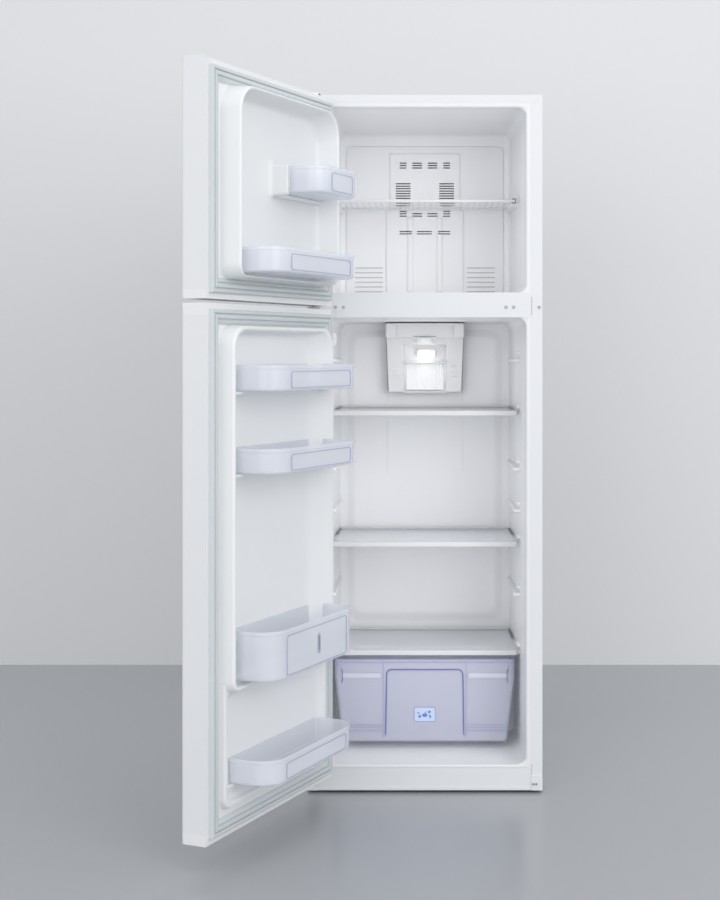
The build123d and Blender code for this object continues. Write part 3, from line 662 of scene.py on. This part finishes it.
bm = bmesh.new()
paired_blocks(bm, 205, 228, 150, 345, 1359.7, 1367.7, 3, 3)
make_piece("freezer_liner_ledges", bm, [liner_sheet], "freezer_liner")

# %% [markdown]
# ## Glass shelves
#
# A shelf is a pane of toughened glass in a white rail. The pane looks nearly clear from above,
# but its cut edges gather light from the whole pane and look dark blue-grey, so the side faces
# get their own finish. The freezer shelf is clear plastic with stiffening ribs underneath.

# %% Panes and rails
for shelf in ("upper", "middle", "crisper_cover"):
    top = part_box(shelf + "_shelf_glass")[1].z * 1000 + 1
    bm = bmesh.new()
    stack(
        bm,
        [(-219, 219, 141, 419, 2, 2, top - 5), (-219, 219, 141, 419, 2, 2, top - 1)],
        facing=facing_up,
        steps=2,
    )
    narrowed_behind(bm, 214 / 219)
    for face in bm.faces:
        face.material_index = 1 if abs(face.normal.z) < 0.5 else 0
    make_piece(shelf + "_pane", bm, [shelf_glass, glass_edge], shelf + "_shelf_glass")

    bm = bmesh.new()
    rounded_block(bm, (-219.5, 130, top - 12), (219.5, 141, top), 2.2, 3)
    rounded_block(bm, (-214, 408, top - 1), (214, 420, top + 4), 1.2, 2)
    rounded_block(bm, (-216.5, 137, top - 10), (216.5, 147, top - 5.2), 0.8, 2)
    make_piece(shelf + "_rails", bm, [rail_white], shelf + "_shelf_trim")

    bm = bmesh.new()
    paired_blocks(bm, 217, 220.6, 131.5, 139.5, top - 10.5, top - 1.5, 0.8)
    paired_blocks(bm, 213.4, 218.4, 300, 414, top - 6, top + 0.6, 0.8)
    make_piece(shelf + "_clips", bm, [grey_clip], shelf + "_shelf_trim", stands_for=False)

# %% Freezer shelf
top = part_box("freezer_shelf")[1].z * 1000
stiffener_count = 27
stiffener_pitch = 15
bm = bmesh.new()
rounded_block(bm, (-213, 131, top - 2.4), (213, 345, top - 0.2), 0.6)
narrowed_behind(bm, 209 / 214)
for index in range(stiffener_count):
    x = (index - stiffener_count // 2) * stiffener_pitch
    rounded_block(bm, (x - 0.8, 136, top - 5), (x + 0.8, 342, top - 2), 0.3, 1)
rounded_block(bm, (-207, 334, top - 5), (207, 346, top + 2), 1)
make_piece("freezer_shelf_plate", bm, [clear_plastic], "freezer_shelf")
bm = bmesh.new()
rounded_block(bm, (-215, 130, top - 6), (215, 133.5, top), 1)
make_piece("freezer_shelf_front", bm, [rail_white], "freezer_shelf")
bm = bmesh.new()
paired_blocks(bm, 208, 217.5, 134, 158, top - 6, top + 3.5, 1.6)
make_piece("freezer_shelf_clips", bm, [grey_clip], "freezer_shelf", stands_for=False)

# %% [markdown]
# ## Crisper drawer
#
# The drawer is the most detailed moulding here. Its sides lean in below the shoulder, and a pale
# band along each shoulder is painted highlight where the sides lean. The front has a centre panel
# inside a raised outline, and the side fields end in small ledges above the floor. The outline is
# thick plastic seen edge on, so it looks much darker than the wall. We make the tub as one closed
# stack that goes up outside and down inside, and set the details on its front.

# %% Crisper tub
drawer_front = 135
drawer_back = 292
bm = bmesh.new()
stack(
    bm,
    softened(
        [
            (-182, 182, drawer_front + 10, drawer_back - 10, 6, 6, 82),
            (-196, 196, drawer_front, drawer_back, 8, 8, 82),
            (-200, 200, drawer_front, drawer_back, 8, 8, 116),
            (-214, 214, drawer_front, drawer_back, 8, 8, 238),
            (-214.5, 214.5, drawer_front, drawer_back, 8, 8, 279.5),
            (-212, 212, drawer_front + 2.2, drawer_back - 2.2, 6, 6, 279.5),
            (-211.6, 211.6, drawer_front + 2.2, drawer_back - 2.2, 6, 6, 238),
            (-197.8, 197.8, drawer_front + 2.2, drawer_back - 2.2, 6, 6, 116),
            (-194, 194, drawer_front + 2.2, drawer_back - 2.2, 6, 6, 84.2),
            (-180, 180, drawer_front + 12, drawer_back - 12, 4, 4, 84.2),
        ],
        (10, 3, 5, 0.8, 0.8, 5, 3, 9),
        3,
    ),
    facing=facing_up,
    steps=4,
)
make_piece("crisper_tub", bm, [tinted_plastic], "crisper_drawer")

# A raised band along each shoulder of the drawer front. The ridge is really there; its paler, less clear lavender
# paints the highlight where the sides lean.
bm = bmesh.new()
paired_blocks(bm, 104, 196, drawer_front - 2.2, drawer_front + 1, 234, 246, 2, 4)
make_piece("crisper_shoulder_highlights", bm, [lavender_highlight], "crisper_drawer", stands_for=False)

# %% Crisper ribs
rooted = drawer_front + 1
bm = bmesh.new()
paired_blocks(bm, 98, 99.4, drawer_front - 0.7, rooted, 92, 277, 0.3)
for low, high in ((108, 109.4), (116, 117), (122, 123.4)):
    paired_blocks(bm, 100, 198, drawer_front - 0.8, rooted, low, high, 0.3)
for z in (277.6, 271):
    rounded_block(bm, (-213.4, drawer_front - 1, z), (213.4, rooted, z + 1.4), 0.3)
for x in (-213, -207.6, -200.5, 199.4, 206, 212):
    rounded_block(bm, (x, drawer_front - 0.6, 240), (x + 1.1, rooted, 278), 0.3)
make_piece("crisper_ribs", bm, [drawer_edge], "crisper_drawer", stands_for=False)

# %% Crisper outline and grips
outline_end = 99
outline_lean = 0.00018
grip_radius = 48
grip_sweep = math.radians(40)
bm = bmesh.new()
raised_hoop(bm, (-94.5, 94.5, 50, 256), 13, 2.8, drawer_front + 0.6, drawer_front - 1.4)
whole = bm.verts[:] + bm.edges[:] + bm.faces[:]
below = (0, 0, -1)
bmesh.ops.bisect_plane(
    bm, geom=whole, plane_co=(0, 0, outline_end), plane_no=below, clear_outer=True
)
bmesh.ops.holes_fill(bm, edges=[edge for edge in bm.edges if edge.is_boundary], sides=8)
for vert in bm.verts:
    vert.co.x *= 1 - outline_lean * (vert.co.z - outline_end)
for side in (-1, 1):
    arc = bmesh.ops.create_circle(bm, segments=6, radius=1.1)["verts"]
    bmesh.ops.translate(bm, verts=arc, vec=(grip_radius, 0, 0))
    hook = [e for e in bm.edges if e.verts[0] in arc and e.verts[1] in arc]
    bmesh.ops.spin(
        bm,
        geom=arc + hook,
        cent=(0, 0, 0),
        axis=(0, 1, 0),
        angle=grip_sweep,
        steps=10,
        use_merge=False,
    )
    whole = [v for v in bm.verts if v.co.length < grip_radius + 2]
    ends = [e for e in bm.edges if e.is_boundary and all(v in whole for v in e.verts)]
    bmesh.ops.holes_fill(bm, edges=ends, sides=8)
    level = Matrix.Rotation(-grip_sweep / 2, 3, "Y")
    bmesh.ops.rotate(bm, verts=whole, cent=(0, 0, 0), matrix=level)
    if side > 0:
        bmesh.ops.scale(bm, verts=whole, vec=(-1, 1, 1))
    bmesh.ops.translate(bm, verts=whole, vec=(side * 243, drawer_front - 0.6, 240))
make_piece("crisper_outline", bm, [dark_tint], "crisper_drawer", stands_for=False)

# %% Crisper label
bm = bmesh.new()
stack(
    bm,
    [
        (-25, 25, 131, 165, 4, 4, drawer_front + 0.4),
        (-25, 25, 131, 165, 4, 4, drawer_front - 0.5),
    ],
    steps=4,
)
make_piece("crisper_label", bm, [label_blue], "crisper_drawer", stands_for=False)

bm = bmesh.new()
raised_hoop(bm, (-25, 25, 131, 165), 4, 0.7, drawer_front, drawer_front - 0.7)
for x, z, wide, tall, turn in (
    (0, 146, 6.5, 4.2, 0),
    (-12, 143, 3.6, 3.2, 20),
    (-15, 151, 4, 1.2, -25),
    (11, 154, 3.4, 3, 40),
    (13, 143, 2.2, 4.2, 15),
    (2, 153, 1, 3, -30),
):
    disc = bmesh.ops.create_circle(bm, cap_ends=True, segments=14, radius=1)["verts"]
    face = disc[0].link_faces[0]
    body = bmesh.ops.extrude_face_region(bm, geom=[face])["geom"]
    lifted = [item for item in body if isinstance(item, bmesh.types.BMVert)]
    bmesh.ops.translate(bm, verts=lifted, vec=(0, 0, 1))
    shape = disc + lifted
    bmesh.ops.scale(bm, verts=shape, vec=(wide, tall, 0.8))
    turned = Matrix.Rotation(math.radians(turn), 3, "Z")
    bmesh.ops.rotate(bm, verts=shape, cent=(0, 0, 0), matrix=turned)
    bmesh.ops.transform(bm, matrix=facing_front, verts=shape)
    bmesh.ops.translate(bm, verts=shape, vec=(x, drawer_front - 1.1, z))
make_piece("crisper_pictogram", bm, [print_blue], "crisper_drawer", stands_for=False)

# %% [markdown]
# ## Light housing
#
# The lamp sits in a recess above a ribbed lens. The ribs spread the light sideways, so we fold
# a fine grid into ribs and give it a wall. The bulb glows a little, as it does when the door is
# open.

# %% Housing
housing_top = 1084
lean_start = 1040
lean_share = 0.00032


def leaned_in(bm):
    """Narrow the housing more and more below its top block."""
    for vert in bm.verts:
        if vert.co.z < lean_start:
            vert.co.x *= 1 - lean_share * (housing_top - vert.co.z)


bm = bmesh.new()
rounded_block(bm, (-76, 340, 1077), (76, 425, housing_top), 2.5, 3)
rounded_block(bm, (-76, 352, 1047), (76, 425, 1080), 1.5)
paired_blocks(bm, 72, 99, 340, 425, 1046, housing_top, 5, 4)
paired_blocks(bm, 56, 98, 380, 425, 909, 1050, 2.5, 3)
paired_blocks(bm, 48.6, 57, 384, 425, 911, 984, 1.2)
for z in (974, 961, 948):
    paired_blocks(bm, 69, 84, 378.4, 384, z - 3.4, z + 3.4, 2, 3)
rounded_block(bm, (-58, 381, 1030), (58, 425, 1048), 2)
rounded_block(bm, (-58, 376, 982.5), (58, 416, 986.5), 1.2)
rounded_block(bm, (-58, 386, 906), (58, 425, 915), 3, 3)
rounded_block(bm, (-58, 412, 912), (58, 425, 1034), 1)
rounded_block(bm, (-30, 352, 1043), (30, 384, 1049), 2)
leaned_in(bm)
make_piece("lamp_housing", bm, [housing_white], "light_housing")

# Dark strips in the gaps beside the housing columns and a thin arch over the knob recess: painted shade where the
# gaps and the recess fall dark.
bm = bmesh.new()
paired_blocks(bm, 98, 100.6, 384, 424, 914, housing_top + 2, 0.6)
leaned_in(bm)
rounded_block(bm, (-29, 350, 1049.4), (29, 353, 1051), 0.5)
make_piece("lamp_housing_gap_shade", bm, [gap_shade_grey], "light_housing", stands_for=False)

# %% Lens
rib_count = 20
rib_rise = 1.8
lens_width = 96
lens_height = 70.2
lens_tilt = 0.26
bm = bmesh.new()
bmesh.ops.create_grid(bm, x_segments=rib_count * 4, y_segments=1, size=0.5)
bmesh.ops.scale(bm, verts=bm.verts, vec=(lens_width, lens_height, 1))
for vert in bm.verts:
    vert.co.z = rib_rise * abs(math.sin(math.pi * rib_count * (vert.co.x / lens_width + 0.5)))
upright = Matrix.Rotation(math.radians(90) - lens_tilt, 3, "X")
bmesh.ops.rotate(bm, verts=bm.verts, cent=(0, 0, 0), matrix=upright)
bmesh.ops.translate(bm, verts=bm.verts, vec=(0, 385, 949))
make_piece("lamp_lens_ribbed", bm, [lens_glow], "lamp_lens", sheet=0.0014, seen=(0, -1, 0))

# %% [markdown]
# ## Seams
#
# The divider cover and the bottom panel lie on the steel front, and the small step at their ends
# falls dark, so a fine dark strip there is painted shade. The folded front also has a mitre at each
# top corner, a thin strip in a greyer finish that paints the shading of the crease. Both barely
# stand proud. Behind the long slots at each lower corner of the evaporator cover there is a pale
# duct wall, which keeps the slots from looking black.

# %% Painted shade at joints and mitres
# A dark strip at the right end of the divider cover and at each end of the bottom panel: painted shade for the
# step where they lie on the front.
bm = bmesh.new()
rounded_block(bm, (245.2, -1.1, 1095), (246, 0.6, 1137), 0.2, 1)
paired_blocks(bm, 245.2, 246, -0.4, 0.6, 16, 66, 0.2, 1)
make_piece("front_joint_shade", bm, [gap_shade_grey], "outer_wrapper", stands_for=False)

# A thin strip across each top corner for the mitre; its greyer rail finish paints the shading of the crease.
bm = bmesh.new()
for side in (-1, 1):
    crease = rounded_block(bm, (-10.5, -0.35, -0.35), (10.5, 0.4, 0.35), 0.15, 1)
    turned = Matrix.Rotation(math.radians(-45 * side), 3, "Y")
    bmesh.ops.rotate(bm, verts=crease, cent=(0, 0, 0), matrix=turned)
    bmesh.ops.translate(bm, verts=crease, vec=(side * 256, 0, 1586))
make_piece("front_mitre_shading", bm, [rail_white], "outer_wrapper", stands_for=False)

bm = bmesh.new()
paired_blocks(bm, 102, 181, 357.6, 358.8, 1157, 1229, 0.4, 1)
make_piece("duct_wall", bm, [rail_white], "evaporator_cover", stands_for=False)

# %% [markdown]
# ## Door liners
#
# A door liner is a flat sheet with a raised dike all round. The bins hang between the dike's
# two sides, and the wide sloping side next to the free edge leaves room for the cabinet wall
# as the door swings shut. Each dike here is a stack that climbs outside and comes down inside.

# %% Freezer door liner
dike = 36
bm = bmesh.new()
stack(
    bm,
    softened(
        [
            (-247, 247, 1134, 1563, 4, 4, -14),
            (-247, 247, 1134, 1563, 4, 4, -12),
            (-220, 220, 1154, 1543, 30, 58, -12),
            (-216, 216, 1158, 1539, 26, 56, dike),
            (-210, 211, 1161, 1533, 20, 54, dike),
            (-192, 197, 1164, 1521, 20, 60, -12),
            (-170, 170, 1180, 1500, 14, 44, -12),
        ],
        (0.8, 6, 7, 6, 12),
        5,
    ),
)
stack(
    bm,
    softened(
        [
            (-20, 34, 1320, 1420, 12, 12, -14),
            (2, 15, 1336, 1404, 8, 8, -10),
            (3, 14, 1338, 1402, 7, 7, 29),
            (5, 12, 1342, 1398, 4, 4, 29),
        ],
        (10, 4),
    ),
    close=(True, True),
)
rounded_block(bm, (-190, -14, 1335), (4, 4, 1342.5), 2.4, 3)
place = freezer_door_place
make_piece("freezer_door_liner_sheet", bm, [door_liner_sheet], "freezer_door_liner", place)

# %% Lower door liner
bm = bmesh.new()
stack(bm, [(-247, 247, 74, 1080, 4, 4, -14), (-247, 247, 74, 1080, 4, 4, -12)])
for outer, top_outer, top_inner, inner, rise in (
    (
        (-220, 220, 336, 1065, 24, 44),
        (-217, 217, 340, 1062, 22, 43),
        (-209, 208, 348, 1054, 14, 42),
        (-149, 198, 350, 1046, 12, 54),
        21,
    ),
    (
        (-220, 220, 106, 366, 24, 10),
        (-218, 218, 108, 364, 22, 10),
        (-206, 208, 118, 333, 18, 10),
        (-196, 198, 122, 330, 20, 10),
        1,
    ),
):
    stack(
        bm,
        softened(
            [
                (*outer, -13),
                (*outer, -12),
                (*top_outer, rise),
                (*top_inner, rise),
                (*inner, -11.5),
                (inner[0] + 24, inner[1] - 24, inner[2] + 24, inner[3] - 24, 8, 8, -11.5),
            ],
            (0, 6, 6, 12),
            5,
        ),
    )
for bin_low, reach in ((932, 16), (768, 16), (152, -2)):
    paired_blocks(bm, 172, 213, -13, reach, bin_low - 7, bin_low - 0.3, 2, 3)
make_piece("lower_door_liner_sheet", bm, [door_liner_sheet], "fridge_door_liner", fridge_door_place)

# %% [markdown]
# ## Magnetic seals
#
# The seal is an extruded vinyl section mitred into a frame: a flat strip over the magnet, two
# grooves, and a thin skirt that runs in towards the liner. Drawing the section as a hoop of
# rings keeps it the same all the way round, mitres included.

# %% Seals
section = (
    (12, -12),
    (12, -4.2),
    (13.4, -2.4),
    (18, -2),
    (19.4, -3),
    (20.2, -7),
    (22, -7),
    (22.8, -3),
    (24, -2.2),
    (29, -2.2),
    (30, -3.2),
    (31, -7.5),
    (32.6, -7.5),
    (33.6, -4.5),
    (35, -4),
    (39, -6.5),
    (42, -10.5),
    (42, -12),
)
for door, low, high, place, body in (
    ("freezer", 1114, 1583, freezer_door_place, "freezer_door_gasket"),
    ("lower", 50, 1106, fridge_door_place, "fridge_door_gasket"),
):
    bm = bmesh.new()
    stations = []
    for inset, depth in section:
        stations.append((-270 + inset, 270 - inset, low + inset, high - inset, 0.3, 0.3, depth))
    stack(bm, stations, hoop=True, steps=1)
    make_piece(door + "_door_seal", bm, [seal_vinyl], body, place)

# %% [markdown]
# ## Door bins
#
# A bin is a small tub with a big radius at its two front corners, a rim that stands out a
# little, and a raised frame on its front. The tall one for bottles also has a slot for a
# divider.

# %% Bins
bin_back = -11
for node, left, right, low, high, reach, corner, place in (
    ("freezer_lower_bin", -188, 188, 1168, 1219, 104, 50, freezer_door_place),
    ("freezer_upper_bin", -188, 0, 1343, 1400, 104, 40, freezer_door_place),
    ("door_bin_top", -188, 188, 932, 984, 104, 50, fridge_door_place),
    ("door_bin_second", -188, 188, 768, 819, 104, 50, fridge_door_place),
    ("bottle_bin", -188, 188, 358, 457, 94, 50, fridge_door_place),
    ("door_bin_bottom", -188, 188, 152, 203, 93, 50, fridge_door_place),
):
    bm = bmesh.new()

    def outline(shrink, z):
        """The bin's outline, smaller all round by some amount, at a height."""
        round_front = corner - shrink
        return (left + shrink, right - shrink, bin_back + shrink, reach - shrink, 3, round_front, z)

    stack(
        bm,
        softened(
            [
                outline(12, low),
                outline(1.6, low),
                outline(1.2, high - 8),
                outline(0, high - 7.4),
                outline(0, high),
                outline(2.2, high),
                outline(3.4, low + 2.2),
                outline(14, low + 2.2),
            ],
            (5, 0.5, 0.4, 0.6, 0.6, 5),
            3,
        ),
        facing=facing_up,
        steps=10,
    )
    tub_faces = set(bm.faces)
    frame_box = (left + corner + 4, right - corner - 4, low + 5, high - 12)
    raised_hoop(bm, frame_box, 8, 2.4, reach - 2.6, reach + 0.2)
    if node == "bottle_bin":
        raised_hoop(bm, (-10, 0, 385, 427), 4.9, 1.6, reach - 2.6, reach + 0.4)
    for face in bm.faces:
        face.material_index = 0 if face in tub_faces else 1
    make_piece(node + "_tub", bm, [bin_plastic, bin_edge], node, place)

bm = bmesh.new()
rounded_block(bm, (-6.4, 91, 391), (-3.6, 94.2, 421), 0.8)
make_piece("bottle_bin_slot", bm, [grey_clip], "bottle_bin", fridge_door_place, stands_for=False)

# %% [markdown]
# ## Soft edges on the parts that stay
#
# Folded steel and moulded caps never have a knife edge. The designed parts keep their shape, so
# we only ask two modifiers for a fine bevel: one welds the loose triangles, the other rounds
# what is sharper than forty degrees.

# %% Fine bevels
soft_edges = {
    "outer_wrapper": 0.4,
    "mullion_cover": 0.4,
    "lower_front_panel": 0.35,
    "corner_plate": 0.6,
    "bottom_hinge_bracket": 0.5,
    "centre_hinge_bracket": 0.5,
    "freezer_door_bottom_cap": 1.2,
    "freezer_door_top_cap": 1.0,
    "fridge_door_bottom_cap": 1.2,
    "fridge_door_top_cap": 1.2,
    "terminal_box": 1.0,
    "base_frame": 0.5,
}
for name, width in soft_edges.items():
    weld = nodes[name].modifiers.new("weld", "WELD")
    weld.merge_threshold = 0.00002
    bevel = nodes[name].modifiers.new("soft_edge", "BEVEL")
    bevel.width = width / 1000
    bevel.segments = 2
    bevel.limit_method = "ANGLE"
    bevel.angle_limit = math.radians(40)
    bevel.use_clamp_overlap = True
print(len(soft_edges), "parts have soft edges")
